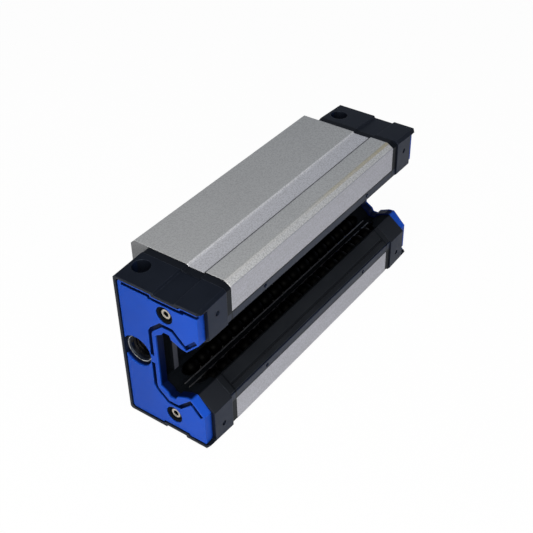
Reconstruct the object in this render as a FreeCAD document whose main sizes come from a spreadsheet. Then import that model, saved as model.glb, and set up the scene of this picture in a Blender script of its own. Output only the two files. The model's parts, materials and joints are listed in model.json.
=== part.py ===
import FreeCAD, Part
import math
import os
import re
import Sketcher
from FreeCAD import Placement, Rotation, Vector

# Linear guide block of size 25 with a long body, in millimetres.
# X runs along the rail, +Y points out of the mounting face and +Z is the left leg.
# The origin is the centre of the mounting face. A drop is a distance below that face, towards the rail.

SIZES = (
    # steel body
    ("body_length", 78.6),
    ("body_width", 48.0),
    ("body_drop", 32.6),
    ("mounting_edge_chamfer", 1.2),
    ("side_relief_start_rise", 13.8),
    ("side_relief_end_rise", 7.7),
    ("side_relief_depth", 0.45),
    ("side_undercut", 0.35),
    ("foot_chamfer_drop", 2.0),
    ("foot_chamfer_side", 1.3),
    # tapped holes of the mounting face
    ("mounting_pitch_along", 50.0),
    ("mounting_pitch_across", 35.0),
    ("mounting_hole_diameter", 5.0),
    ("mounting_hole_depth", 9.0),
    # ball circuits
    ("ball_diameter", 4.762),
    ("ball_play", 0.1),
    ("lane_clearance", 0.12),
    ("row_rise", 11.6),
    ("row_spread", 3.8),
    ("row_side", 11.7),
    ("return_rise", 2.4),
    ("return_reach", 6.58),
    # seats of the strips inside the channel
    ("strip_outer_side", 15.2),
    ("strip_inner_side", 12.7),
    ("strip_thickness", 1.2),
    ("strip_hole_spacing", 50.4),
    ("strip_hole_diameter", 1.3),
    ("shoulder_side", 14.8),
    ("retainer_clearance", 0.22),
    ("seat_gap", 0.05),
    # slanted faces of the legs
    ("waist_rise", 4.7),
    ("waist_side", 8.7),
    ("flare_slope", 0.78),
    ("retainer_rise", 0.2),
    ("retainer_lip", 0.9),
    # top retainer
    ("top_retainer_thickness", 0.95),
    ("top_retainer_lip_gap", 0.3),
    ("top_retainer_lip_width", 1.6),
    ("top_retainer_lip_bevel", 0.5),
    ("top_retainer_reach", 1.55),
    # retaining wires
    ("wire_diameter", 0.5),
    ("wire_offset", 2.85),
    ("wire_side", 11.9),
    ("wire_hole_clearance", 0.03),
    ("wire_reach", 4.0),
    # return plates
    ("plate_thickness", 2.35),
    ("plate_inset", 0.2),
    ("guide_flange", 0.3),
    ("guide_clearance", 0.1),
    # end caps
    ("cap_depth", 10.65),
    ("cap_top_rise", 27.1),
    ("cap_width", 46.4),
    ("cap_overhang", 0.4),
    ("cap_corner", 0.6),
    ("cap_foot_chamfer", 0.8),
    ("cap_relief_start_rise", 14.1),
    ("cap_relief_end_rise", 7.1),
    ("cap_relief_depth", 0.6),
    ("cap_relief_bevel", 0.3),
    ("rail_gap", 0.5),
    ("ceiling_rise", 16.0),
    ("ceiling_pocket_rise", 17.4),
    ("ceiling_pocket_side", 8.6),
    ("ceiling_rib", 2.1),
    ("dimple_diameter", 1.5),
    ("dimple_depth", 0.4),
    ("dimple_side", 19.0),
    ("dimple_back", 3.85),
    # grease ports
    ("port_diameter", 7.0),
    ("port_rise", 22.1),
    ("port_depth", 6.0),
    ("port_mouth", 0.45),
    ("boss_diameter", 9.0),
    ("boss_height", 1.7),
    ("boss_gap", 0.3),
    ("side_port_diameter", 5.1),
    ("side_port_rise", 23.0),
    ("side_port_back", 4.35),
    ("side_port_depth", 4.5),
    # end seals
    ("rim_width", 0.8),
    ("rim_proud", 0.3),
    ("seal_thickness", 2.8),
    ("seal_gap", 0.3),
    ("seal_rise", 0.7),
    ("seal_hole_diameter", 5.2),
    ("lip_top_rise", 15.05),
    ("lip_top_side", 8.8),
    ("lip_shoulder_rise", 12.8),
    ("lip_shoulder_side", 10.2),
    ("lip_nose_start_rise", 12.2),
    ("lip_nose_end_rise", 10.2),
    ("lip_nose_side", 11.3),
    ("lip_hollow_rise", 9.7),
    ("lip_hollow_side", 10.0),
    ("lip_neck_rise", 6.6),
    ("lip_neck_side", 8.6),
    ("lip_waist_rise", 4.8),
    ("lip_waist_side", 8.4),
    # grooves in the face of the end seals
    ("groove_width", 1.2),
    ("groove_depth", 1.0),
    ("groove_start_side", 1.2),
    ("groove_top_rise", 16.7),
    ("groove_top_side", 9.2),
    ("groove_shoulder_rise", 16.1),
    ("groove_shoulder_side", 10.4),
    ("groove_nose_start_rise", 12.8),
    ("groove_nose_end_rise", 9.1),
    ("groove_nose_side", 13.3),
    ("groove_waist_rise", 5.1),
    ("groove_waist_side", 9.5),
    ("groove_end_rise", 1.6),
    ("edge_land", 0.35),
    ("edge_groove_width", 0.95),
    ("edge_groove_start", 1.2),
    ("edge_groove_run_out", 0.2),
    # screws of the end caps
    ("screw_rise", 11.2),
    ("screw_side", 17.2),
    ("screw_diameter", 2.5),
    ("screw_thread_length", 8.0),
    ("screw_fit", 0.05),
    ("screw_hole_clearance", 0.2),
    ("tapped_depth", 10.0),
    ("screw_head_diameter", 3.8),
    ("screw_head_height", 2.1),
    ("screw_head_crown", 0.5),
    ("screw_socket_width", 1.6),
    ("screw_socket_depth", 1.4),
    ("screw_boss_diameter", 5.1),
    ("screw_boss_bore", 4.0),
    ("screw_boss_height", 2.5),
)

# Sizes that follow from the ones above. A rise is a height above the rail side of the steel.
WORKED_OUT = {
    "side_relief_start": "body_drop - side_relief_start_rise",
    "side_relief_end": "body_drop - side_relief_end_rise",
    "row_middle": "body_drop - row_rise",
    "waist_drop": "body_drop - waist_rise",
    "retainer_drop": "body_drop - retainer_rise",
    "cap_top": "body_drop - cap_top_rise",
    "cap_relief_start": "body_drop - cap_relief_start_rise",
    "cap_relief_end": "body_drop - cap_relief_end_rise",
    "ceiling_drop": "body_drop - ceiling_rise",
    "ceiling_pocket_drop": "body_drop - ceiling_pocket_rise",
    "port_drop": "body_drop - port_rise",
    "side_port_drop": "body_drop - side_port_rise",
    "seal_drop": "body_drop - seal_rise",
    "lip_top": "body_drop - lip_top_rise",
    "lip_shoulder_drop": "body_drop - lip_shoulder_rise",
    "lip_nose_start": "body_drop - lip_nose_start_rise",
    "lip_nose_end": "body_drop - lip_nose_end_rise",
    "lip_hollow_drop": "body_drop - lip_hollow_rise",
    "lip_neck_drop": "body_drop - lip_neck_rise",
    "lip_waist_drop": "body_drop - lip_waist_rise",
    "screw_drop": "body_drop - screw_rise",
    "cap_drop": "body_drop + cap_overhang",
    "groove_top": "body_drop - groove_top_rise",
    "groove_shoulder_drop": "body_drop - groove_shoulder_rise",
    "groove_nose_start": "body_drop - groove_nose_start_rise",
    "groove_nose_end": "body_drop - groove_nose_end_rise",
    "groove_waist_drop": "body_drop - groove_waist_rise",
    "groove_end": "body_drop - groove_end_rise",
    "half_length": "body_length / 2",
    "half_width": "body_width / 2",
    "cap_side": "cap_width / 2",
    "plate_side": "half_width - plate_inset",
    "plate_face": "half_length + plate_thickness",
    "cap_face": "plate_face + cap_depth",
    "seal_face": "cap_face - rim_proud",
    "seal_seat": "seal_face - seal_thickness",
    "boss_face": "seal_seat + boss_height",
    "ball_radius": "ball_diameter / 2",
    "lane_radius": "ball_radius + lane_clearance",
    "retainer_radius": "ball_radius + retainer_clearance",
    "upper_row": "row_middle - row_spread",
    "lower_row": "row_middle + row_spread",
    "channel_ceiling": "upper_row - lane_radius",
    "turn_radius": "sqrt(return_rise ^ 2 + return_reach ^ 2) / 2",
    "strip_seat": "body_drop - strip_thickness",
    "screw_bore": "screw_diameter / 2 + screw_hole_clearance",
}

doc = FreeCAD.newDocument("linear_guide_block")
sheet = doc.addObject("Spreadsheet::Sheet", "sizes")
for row, (name, value) in enumerate(SIZES, start=1):
    sheet.set(f"A{row}", name)
    sheet.set(f"B{row}", str(value))
    sheet.setAlias(f"B{row}", name)
doc.recompute()

NAMES = {name for name, value in SIZES}
NODES = []


def bind(text):
    """An expression in the names above, written out for the sheet."""
    def swap(match):
        word = match.group(0)
        if word in WORKED_OUT:
            return f"({bind(WORKED_OUT[word])})"
        return f"sizes.{word}" if word in NAMES else word
    return re.sub(r"[a-z_]+[a-z]", swap, text)


def number(text):
    """The value that an expression has now."""
    result = sheet.evalExpression(bind(text))
    return float(getattr(result, "Value", result))


def point(drop, side):
    """A corner of a cross-section, given by its drop and its distance from the middle plane."""
    return ("point", f"-({drop})", side)


def arc(drop, side, radius):
    """Joins the corners before and after it by an arc about a centre."""
    return ("arc", f"-({drop})", side, radius)


def across(half):
    """The whole outline of a cross-section from the half on the left leg."""
    other = [(kind, u, f"-({v})", *rest) for kind, u, v, *rest in reversed(half)]
    return list(half) + other


def new_body(label, solids=1):
    """An empty body whose label names its node."""
    body = doc.addObject("PartDesign::Body", label)
    body.Label = label
    body.AllowCompound = solids > 1
    NODES.append((body, solids))
    return body


def origin_feature(body, role):
    return next(item for item in body.Origin.OriginFeatures if item.Role == role)


def sketch_on(body, name, role, offset="0"):
    """A sketch on one of the body's own origin planes, moved along the plane's normal."""
    sketch = body.newObject("Sketcher::SketchObject", name)
    sketch.AttachmentSupport = [(origin_feature(body, role), "")]
    sketch.MapMode = "FlatFace"
    sketch.setExpression("AttachmentOffset.Base.z", bind(offset))
    return sketch


def hold(sketch, geometry, position, u, v):
    """Ties one point of a sketch to two expressions."""
    for kind, axis, text in (("DistanceX", -2, u), ("DistanceY", -1, v)):
        value = number(text)
        if abs(value) < 1e-9:
            sketch.addConstraint(Sketcher.Constraint("PointOnObject", geometry, position, axis))
        else:
            index = sketch.addConstraint(Sketcher.Constraint(kind, geometry, position, value))
            sketch.setExpression(f"Constraints[{index}]", bind(text))


def add_outline(sketch, path):
    """Draws a closed outline of lines and arcs, every corner tied to its expressions."""
    corners = []
    bends = {}
    for item in path:
        if item[0] == "point":
            corners.append(item)
        else:
            bends[len(corners) - 1] = item
    spots = [Vector(number(u), number(v), 0) for kind, u, v in corners]
    ends = []
    for index, start in enumerate(spots):
        finish = spots[(index + 1) % len(spots)]
        if index not in bends:
            geometry = sketch.addGeometry(Part.LineSegment(start, finish), False)
            ends.append((geometry, 1, 2))
            continue
        kind, u, v, radius = bends[index]
        centre = Vector(number(u), number(v), 0)
        turn = (start - centre).cross(finish - centre).z
        first, last = (start, finish) if turn > 0 else (finish, start)
        angles = [math.atan2(spot.y - centre.y, spot.x - centre.x) for spot in (first, last)]
        circle = Part.Circle(centre, Vector(0, 0, 1), number(radius))
        geometry = sketch.addGeometry(Part.ArcOfCircle(circle, *angles), False)
        ends.append((geometry, 1, 2) if turn > 0 else (geometry, 2, 1))
        rule = sketch.addConstraint(Sketcher.Constraint("Radius", geometry, number(radius)))
        sketch.setExpression(f"Constraints[{rule}]", bind(radius))
    for index, (geometry, begin, end) in enumerate(ends):
        following, following_begin, _ = ends[(index + 1) % len(ends)]
        sketch.addConstraint(Sketcher.Constraint("Coincident", geometry, end, following, following_begin))
    for (geometry, begin, end), (kind, u, v) in zip(ends, corners):
        hold(sketch, geometry, begin, u, v)


def add_path(sketch, path):
    """Draws an open run of lines, every corner tied to its expressions."""
    spots = [Vector(number(u), number(v), 0) for kind, u, v in path]
    lines = [sketch.addGeometry(Part.LineSegment(*ends), False) for ends in zip(spots, spots[1:])]
    for line, following in zip(lines, lines[1:]):
        sketch.addConstraint(Sketcher.Constraint("Coincident", line, 2, following, 1))
    for line, (kind, u, v) in zip(lines, path):
        hold(sketch, line, 1, u, v)
    kind, u, v = path[-1]
    hold(sketch, lines[-1], 2, u, v)


def add_circle(sketch, u, v, diameter):
    """Draws a circle tied to its centre and diameter."""
    centre = Vector(number(u), number(v), 0)
    circle = Part.Circle(centre, Vector(0, 0, 1), number(diameter) / 2)
    geometry = sketch.addGeometry(circle, False)
    hold(sketch, geometry, 3, u, v)
    rule = sketch.addConstraint(Sketcher.Constraint("Diameter", geometry, number(diameter)))
    sketch.setExpression(f"Constraints[{rule}]", bind(diameter))


def pad(body, sketch, length, midplane=False):
    feature = body.newObject("PartDesign::Pad", f"{sketch.Name}_pad")
    feature.Profile = sketch
    feature.setExpression("Length", bind(length))
    feature.Midplane = midplane
    return feature


def pocket(body, sketch, depth, reverse=False, midplane=False):
    """Cuts a sketch into the body and makes sure that it took something away."""
    doc.recompute()
    before = body.Shape.Volume
    feature = body.newObject("PartDesign::Pocket", f"{sketch.Name}_pocket")
    feature.Profile = sketch
    feature.setExpression("Length", bind(depth))
    feature.Reversed = reverse
    feature.Midplane = midplane
    doc.recompute()
    if body.Shape.Volume > before - 1e-6:
        raise RuntimeError(f"{feature.Name} cuts nothing")
    return feature


def cut_holes(body, name, role, offset, spots, diameter, depth, reverse=False, midplane=False):
    """Round holes of one diameter and depth from a plane."""
    sketch = sketch_on(body, name, role, offset)
    for u, v in spots:
        add_circle(sketch, u, v, diameter)
    return pocket(body, sketch, depth, reverse, midplane)


def both_legs(drop, side):
    """The same place on the left and on the right leg, in a cross-section."""
    return [(f"-({drop})", side), (f"-({drop})", f"-({side})")]


# The four ball circuits: name, drop of the loaded row, rise of its return, leg
CIRCUITS = (
    ("upper_left", "upper_row", "return_rise", 1),
    ("lower_left", "lower_row", "-return_rise", 1),
    ("upper_right", "upper_row", "return_rise", -1),
    ("lower_right", "lower_row", "-return_rise", -1),
)


def loaded_place(circuit):
    """Y and Z of a circuit's loaded row."""
    name, drop, rise, leg = circuit
    return f"-({drop})", f"{leg} * row_side"


def return_place(circuit):
    """Y and Z of a circuit's return row."""
    name, drop, rise, leg = circuit
    return f"-({drop}) + {rise}", f"{leg} * (row_side + return_reach)"


def turn_place(circuit):
    """Y and Z of the middle of a circuit's turn."""
    name, drop, rise, leg = circuit
    return f"-({drop}) + ({rise}) / 2", f"{leg} * (row_side + return_reach / 2)"


def turn_angle(circuit):
    """Angle about X from the Y axis to the line from the loaded row to its return."""
    name, drop, rise, leg = circuit
    return f"atan2({leg} * return_reach; {rise})"


# Half outlines of the cross-section, on the left leg
CHANNEL = [
    point("body_drop", "strip_outer_side"),
    point("strip_seat", "strip_outer_side"),
    point("strip_seat", "shoulder_side"),
    point("lower_row + lane_radius", "row_side"),
    arc("lower_row", "row_side", "lane_radius"),
    point("lower_row", "row_side + lane_radius"),
    point("upper_row", "row_side + lane_radius"),
    arc("upper_row", "row_side", "lane_radius"),
    point("channel_ceiling", "row_side"),
]

SADDLE = [
    point("0", "half_width - mounting_edge_chamfer"),
    point("mounting_edge_chamfer", "half_width"),
    point("side_relief_start", "half_width"),
    point("side_relief_start + side_relief_depth", "half_width - side_relief_depth"),
    point("side_relief_end - side_undercut", "half_width - side_relief_depth"),
    point("side_relief_end - side_undercut", "half_width - side_relief_depth - side_undercut"),
    point("side_relief_end", "half_width - side_relief_depth - side_undercut"),
    point("side_relief_end", "half_width"),
    point("body_drop - foot_chamfer_drop", "half_width"),
    point("body_drop", "half_width - foot_chamfer_side"),
]

# The return plates follow the sides of the steel up to the top of the caps
PLATE_SIDE = [
    point("cap_top + plate_inset", "plate_side - cap_corner"),
    point("cap_top + plate_inset + cap_corner", "plate_side"),
    point("side_relief_start", "plate_side"),
    point("side_relief_start + side_relief_depth", "plate_side - side_relief_depth"),
    point("side_relief_end + plate_inset", "plate_side - side_relief_depth"),
    point("side_relief_end + plate_inset", "plate_side"),
    point("body_drop - foot_chamfer_drop", "plate_side"),
    point("body_drop", "plate_side - foot_chamfer_side"),
]

LIP = [
    point("lip_waist_drop", "lip_waist_side"),
    point("lip_neck_drop", "lip_neck_side"),
    point("lip_hollow_drop", "lip_hollow_side"),
    point("lip_nose_end", "lip_nose_side"),
    point("lip_nose_start", "lip_nose_side"),
    point("lip_shoulder_drop", "lip_shoulder_side"),
    point("lip_top", "lip_top_side"),
]

# Middle line of the groove that follows the lip
GROOVE = [
    point("groove_top", "groove_start_side"),
    point("groove_top", "groove_top_side"),
    point("groove_shoulder_drop", "groove_shoulder_side"),
    point("groove_nose_start", "groove_nose_side"),
    point("groove_nose_end", "groove_nose_side"),
    point("groove_waist_drop", "groove_waist_side"),
    point("groove_end", "groove_waist_side + groove_waist_rise - groove_end_rise"),
]

CAP_OPENING = [
    point("cap_drop", "waist_side + (cap_drop - waist_drop) * flare_slope"),
    point("waist_drop", "waist_side"),
    point("lip_neck_drop", "lip_neck_side + rail_gap"),
    point("lip_hollow_drop + rail_gap", "lip_hollow_side + rail_gap"),
    point("lip_nose_end + rail_gap", "lip_nose_side + rail_gap"),
    point("lip_nose_start - rail_gap", "lip_nose_side + rail_gap"),
    point("lip_shoulder_drop - rail_gap", "lip_shoulder_side + rail_gap"),
    point("ceiling_drop", "lip_top_side"),
]


def cap_outline(inset, end_drop, corner, side="cap_side"):
    """Half outline of an end cap's outer sides, set in by a margin, down to its corner at the rail side."""
    return [
        point(f"cap_top + {inset}", f"{side} - {inset} - cap_corner"),
        point(f"cap_top + {inset} + cap_corner", f"{side} - {inset}"),
        point(f"cap_relief_start - {inset}", f"{side} - {inset}"),
        point(f"cap_relief_start - {inset} + cap_relief_bevel", f"{side} - {inset} - cap_relief_depth"),
        point(f"cap_relief_end + {inset} - cap_relief_bevel", f"{side} - {inset} - cap_relief_depth"),
        point(f"cap_relief_end + {inset}", f"{side} - {inset}"),
        point(f"{end_drop} - {corner}", f"{side} - {inset}"),
        point(end_drop, f"{side} - {inset} - {corner}"),
    ]


def make_steel_body():
    body = new_body("steel_body")
    section = sketch_on(body, "saddle_section", "YZ_Plane")
    add_outline(section, across(SADDLE + CHANNEL))
    pad(body, section, "body_length", midplane=True)
    returns = [return_place(circuit) for circuit in CIRCUITS]
    lane = "2 * lane_radius"
    cut_holes(body, "return_bores", "YZ_Plane", "0", returns, lane, "2 * body_length", midplane=True)
    spots = [
        (f"{along} * mounting_pitch_along / 2", f"{aside} * mounting_pitch_across / 2")
        for along in (-1, 1) for aside in (-1, 1)
    ]
    tapping = "mounting_hole_diameter"
    cut_holes(body, "mounting_holes", "XZ_Plane", "0", spots, tapping, "mounting_hole_depth", True)
    screws = both_legs("screw_drop", "screw_side")
    tapped = "screw_diameter + 2 * screw_fit"
    cut_holes(body, "rear_tapped", "YZ_Plane", "half_length", screws, tapped, "tapped_depth")
    cut_holes(body, "front_tapped", "YZ_Plane", "-half_length", screws, tapped, "tapped_depth", True)


def sketch_in_turn(body, name, circuit):
    """A sketch in the plane of a circuit's turn: X along the rail, Y from the loaded row to its return."""
    sketch = sketch_on(body, name, "XY_Plane")
    place_y, place_z = turn_place(circuit)
    sketch.AttachmentOffset = Placement(Vector(), Rotation(Vector(1, 0, 0), number(turn_angle(circuit))))
    sketch.setExpression("AttachmentOffset.Base.y", bind(place_y))
    sketch.setExpression("AttachmentOffset.Base.z", bind(place_z))
    sketch.setExpression("AttachmentOffset.Rotation.Angle", bind(turn_angle(circuit)))
    return sketch


def add_half_moon(sketch, radius):
    """A half disc on the face of the return plate, about the middle of a turn."""
    add_outline(sketch, [
        ("point", "plate_face", f"-({radius})"),
        ("arc", "plate_face", "0", radius),
        ("point", f"plate_face + {radius}", "0"),
        ("arc", "plate_face", "0", radius),
        ("point", "plate_face", radius),
    ])


def cut_turn(body, name, circuit):
    """The round track that carries the balls from the loaded row to the return."""
    place_y, place_z = turn_place(circuit)
    track = body.newObject("PartDesign::SubtractiveTorus", name)
    track.setExpression("Radius1", bind("turn_radius"))
    track.setExpression("Radius2", bind("lane_radius"))
    track.Placement = Placement(Vector(), Rotation(Vector(1, 0, 0), number(turn_angle(circuit))))
    track.setExpression("Placement.Base.x", bind("plate_face"))
    track.setExpression("Placement.Base.y", bind(place_y))
    track.setExpression("Placement.Base.z", bind(place_z))
    track.setExpression("Placement.Rotation.Angle", bind(turn_angle(circuit)))


GUIDE_WIDTH = "2 * (lane_radius + guide_flange)"


def make_return_plate(label):
    """Plate between the steel and a cap, with a half-moon guide for each turn."""
    body = new_body(label)
    section = sketch_on(body, "plate_section", "YZ_Plane", "half_length")
    add_outline(section, across(PLATE_SIDE + CHANNEL))
    pad(body, section, "plate_thickness")
    for circuit in CIRCUITS:
        guide = sketch_in_turn(body, f"guide_{circuit[0]}", circuit)
        add_half_moon(guide, "turn_radius")
        pad(body, guide, GUIDE_WIDTH, midplane=True)
    for circuit in CIRCUITS:
        cut_turn(body, f"track_{circuit[0]}", circuit)
    returns = [return_place(circuit) for circuit in CIRCUITS]
    lane = "2 * lane_radius"
    cut_holes(body, "return_openings", "YZ_Plane", "half_length", returns, lane, "plate_thickness", True)
    screws = both_legs("screw_drop", "screw_side")
    bore = "2 * screw_bore"
    cut_holes(body, "screw_holes", "YZ_Plane", "half_length", screws, bore, "plate_thickness", True)
    return body


def make_end_cap(label):
    """Moulded cap with drafted sides, half of each turn, the seat of the seal and the grease ports."""
    body = new_body(label)
    sections = []
    ends = (("back_section", "plate_face", "plate_side"), ("front_section", "cap_face", "cap_side"))
    for name, offset, side in ends:
        section = sketch_on(body, name, "YZ_Plane", offset)
        outer = cap_outline("0", "cap_drop", "cap_foot_chamfer", side)
        add_outline(section, across(outer + CAP_OPENING))
        sections.append(section)
    drafted = body.newObject("PartDesign::AdditiveLoft", "drafted_cap")
    drafted.Profile = sections[0]
    drafted.Sections = sections[1:]
    drafted.Ruled = True
    doc.recompute()

    seat = sketch_on(body, "seal_seat", "YZ_Plane", "cap_face")
    add_outline(seat, across(cap_outline("rim_width", "cap_drop + rim_width", "0")[:-1]))
    pocket(body, seat, "rim_proud + seal_thickness")

    ceiling = sketch_on(body, "ceiling_pocket", "YZ_Plane", "seal_seat")
    add_outline(ceiling, across([
        point("ceiling_pocket_drop", "ceiling_pocket_side"),
        point("ceiling_drop + rail_gap", "ceiling_pocket_side"),
    ]))
    rib_front = "plate_face + top_retainer_reach + seat_gap + ceiling_rib"
    pocket(body, ceiling, f"seal_seat - ({rib_front})")

    rest = sketch_on(body, "retainer_rest", "YZ_Plane", "plate_face")
    add_outline(rest, across([
        point("channel_ceiling - seat_gap", "row_side - lane_clearance"),
        point("ceiling_drop + rail_gap", "row_side - lane_clearance"),
    ]))
    pocket(body, rest, "top_retainer_reach + seat_gap", True)

    boss = sketch_on(body, "port_boss", "YZ_Plane", "seal_seat")
    add_circle(boss, "-port_drop", "0", "boss_diameter")
    pad(body, boss, "boss_height")
    port = [("-port_drop", "0")]
    cut_holes(body, "grease_port", "YZ_Plane", "boss_face", port, "port_diameter", "port_depth")
    mouth = body.newObject("PartDesign::SubtractiveCone", "port_mouth")
    mouth.setExpression("Radius1", bind("port_diameter / 2"))
    mouth.setExpression("Radius2", bind("port_diameter / 2 + port_mouth"))
    mouth.setExpression("Height", bind("port_mouth"))
    mouth.Placement = Placement(Vector(), Rotation(Vector(0, 1, 0), 90))
    mouth.setExpression("Placement.Base.x", bind("boss_face - port_mouth"))
    mouth.setExpression("Placement.Base.y", bind("-port_drop"))

    screws = both_legs("screw_drop", "screw_side")
    collars = sketch_on(body, "screw_bosses", "YZ_Plane", "seal_seat")
    for u, v in screws:
        add_circle(collars, u, v, "screw_boss_diameter")
    pad(body, collars, "screw_boss_height")
    collar_top = "seal_seat + screw_boss_height"
    cut_holes(body, "head_bores", "YZ_Plane", collar_top, screws, "screw_boss_bore", "screw_boss_height")

    side_port = [("plate_face + side_port_back", "-side_port_drop")]
    wide, deep = "side_port_diameter", "side_port_depth + half_width - cap_side"
    cut_holes(body, "left_port", "XY_Plane", "half_width", side_port, wide, deep)
    cut_holes(body, "right_port", "XY_Plane", "-half_width", side_port, wide, deep, True)

    cut_holes(body, "screw_holes", "YZ_Plane", "plate_face", screws, "2 * screw_bore", "cap_depth", True)
    wires = both_legs("upper_row + wire_offset", "wire_side")
    wires += both_legs("lower_row - wire_offset", "wire_side")
    wire_bore = "wire_diameter + 2 * wire_hole_clearance"
    cut_holes(body, "wire_holes", "YZ_Plane", "plate_face", wires, wire_bore, "wire_reach + seat_gap", True)
    dimples = [("plate_face + dimple_back", "dimple_side"), ("plate_face + dimple_back", "-dimple_side")]
    cut_holes(body, "dimples", "XZ_Plane", "cap_drop", dimples, "dimple_diameter", "dimple_depth")

    for circuit in CIRCUITS:
        guide = sketch_in_turn(body, f"guide_seat_{circuit[0]}", circuit)
        add_half_moon(guide, "turn_radius + guide_clearance")
        pocket(body, guide, f"{GUIDE_WIDTH} + 2 * guide_clearance", midplane=True)
    for circuit in CIRCUITS:
        cut_turn(body, f"track_{circuit[0]}", circuit)
    return body


SEAL_INSET = "(rim_width + seal_gap)"


def cut_edge_groove(body):
    """A groove along the outer edge of the seal on one leg, with the steps of that edge."""
    finish = "seal_drop + edge_groove_run_out"
    outer = cap_outline(f"({SEAL_INSET} + edge_land)", finish, "0")[1:-1]
    inner = cap_outline(f"({SEAL_INSET} + edge_land + edge_groove_width)", finish, "0")[1:-1]
    start = f"cap_top + {SEAL_INSET} + edge_groove_start"
    outer[0] = point(start, f"cap_side - {SEAL_INSET} - edge_land")
    inner[0] = point(start, f"cap_side - {SEAL_INSET} - edge_land - edge_groove_width")
    sketch = sketch_on(body, "edge_groove", "YZ_Plane", "seal_face")
    add_outline(sketch, [(kind, u, f"-({v})") for kind, u, v in outer + inner[::-1]])
    pocket(body, sketch, "groove_depth")


def cut_lip_groove(body, leg, mark):
    """A groove of one section that follows the lip on one leg."""
    spine = sketch_on(body, f"{mark}_groove_line", "YZ_Plane", "seal_face")
    add_path(spine, [(kind, u, f"{leg} * ({v})") for kind, u, v in GROOVE])
    section = sketch_on(body, f"{mark}_groove_section", "XY_Plane", f"{leg} * groove_start_side")
    add_outline(section, [
        ("point", "seal_face - groove_depth", "-groove_top - groove_width / 2"),
        ("point", "seal_face + groove_depth", "-groove_top - groove_width / 2"),
        ("point", "seal_face + groove_depth", "-groove_top + groove_width / 2"),
        ("point", "seal_face - groove_depth", "-groove_top + groove_width / 2"),
    ])
    groove = body.newObject("PartDesign::SubtractivePipe", f"{mark}_groove")
    groove.Profile = section
    groove.Spine = spine
    groove.Transition = "Right corner"
    doc.recompute()


def make_end_seal(label):
    """Wiper plate whose lip follows the rail, with holes for the bosses of the cap."""
    body = new_body(label)
    section = sketch_on(body, "seal_section", "YZ_Plane", "seal_seat")
    outer = cap_outline(SEAL_INSET, "seal_drop", "0")[:-1]
    flare = [point("seal_drop", "lip_waist_side + seal_drop - lip_waist_drop")]
    add_outline(section, across(outer + flare + LIP))
    pad(body, section, "seal_thickness")
    screws = both_legs("screw_drop", "screw_side")
    wide = "seal_hole_diameter"
    cut_holes(body, "head_holes", "YZ_Plane", "seal_seat", screws, wide, "seal_thickness", True)
    port = [("-port_drop", "0")]
    boss_hole = "boss_diameter + 2 * boss_gap"
    cut_holes(body, "boss_hole", "YZ_Plane", "seal_seat", port, boss_hole, "seal_thickness", True)
    cut_edge_groove(body)
    for leg, mark in ((1, "left"), (-1, "right")):
        cut_lip_groove(body, leg, mark)
    return body


def make_seal_screws(label):
    """Two button-head socket screws, turned about their own axes."""
    body = new_body(label, solids=2)
    for leg, mark in ((1, "left"), (-1, "right")):
        sketch = sketch_on(body, f"{mark}_shank", "YZ_Plane", "half_length - screw_thread_length")
        add_circle(sketch, "-screw_drop", f"{leg} * screw_side", "screw_diameter")
        pad(body, sketch, "seal_seat - half_length + screw_thread_length")
        doc.recompute()
        head = sketch_on(body, f"{mark}_head", "XY_Plane", f"{leg} * screw_side")
        head_edge = "-screw_drop + screw_head_diameter / 2"
        head_top = "seal_seat + screw_head_height"
        add_outline(head, [
            ("point", "seal_seat", "-screw_drop"),
            ("point", "seal_seat", head_edge),
            ("point", f"{head_top} - screw_head_crown", head_edge),
            ("point", head_top, f"{head_edge} - screw_head_crown"),
            ("point", head_top, "-screw_drop"),
        ])
        turned = body.newObject("PartDesign::Revolution", f"{mark}_head_turned")
        turned.Profile = head
        turned.ReferenceAxis = (head, ["Edge5"])
        turned.Angle = 360
        doc.recompute()
        socket = sketch_on(body, f"{mark}_socket", "YZ_Plane", "seal_seat + screw_head_height")
        corners = [
            ("point",
             f"-screw_drop + screw_socket_width / sqrt(3) * cos({60 * step + 30}deg)",
             f"{leg} * screw_side + screw_socket_width / sqrt(3) * sin({60 * step + 30}deg)")
            for step in range(6)
        ]
        add_outline(socket, corners)
        pocket(body, socket, "screw_socket_depth")
    return body


def make_strip(label, leg, path, half_run):
    """A straight piece of one section along a leg."""
    body = new_body(label)
    section = sketch_on(body, "section", "YZ_Plane")
    add_outline(section, [(kind, u, f"{leg} * ({v})", *rest) for kind, u, v, *rest in path])
    pad(body, section, f"2 * ({half_run})", midplane=True)
    return body


BOTTOM_SEAL = [
    point("strip_seat + seat_gap", "strip_inner_side"),
    point("body_drop", "strip_inner_side"),
    point("body_drop", "strip_outer_side - seat_gap"),
    point("strip_seat + seat_gap", "strip_outer_side - seat_gap"),
]

RETAINER_END_SIDE = "waist_side + (retainer_drop - waist_drop) * flare_slope"

LOWER_RETAINER = [
    point("waist_drop", "waist_side"),
    point("retainer_drop", RETAINER_END_SIDE),
    point("strip_seat", RETAINER_END_SIDE),
    point("strip_seat", "shoulder_side - lane_clearance"),
    point("lower_row + retainer_radius", "row_side"),
    arc("lower_row", "row_side", "retainer_radius"),
    point("lower_row + retainer_radius * sqrt(0.5)", "row_side - retainer_radius * sqrt(0.5)"),
    point("waist_drop - retainer_lip", "waist_side + retainer_lip / 2"),
]

# How far the round seats reach past a row's middle at the channel wall and at the wires
WALL_EDGE = "sqrt(retainer_radius ^ 2 - (lane_radius - seat_gap) ^ 2)"
MIDDLE_SIDE = "wire_side + wire_diameter / 2 + seat_gap"
MIDDLE_EDGE = f"sqrt(retainer_radius ^ 2 - ({MIDDLE_SIDE} - row_side) ^ 2)"

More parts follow.
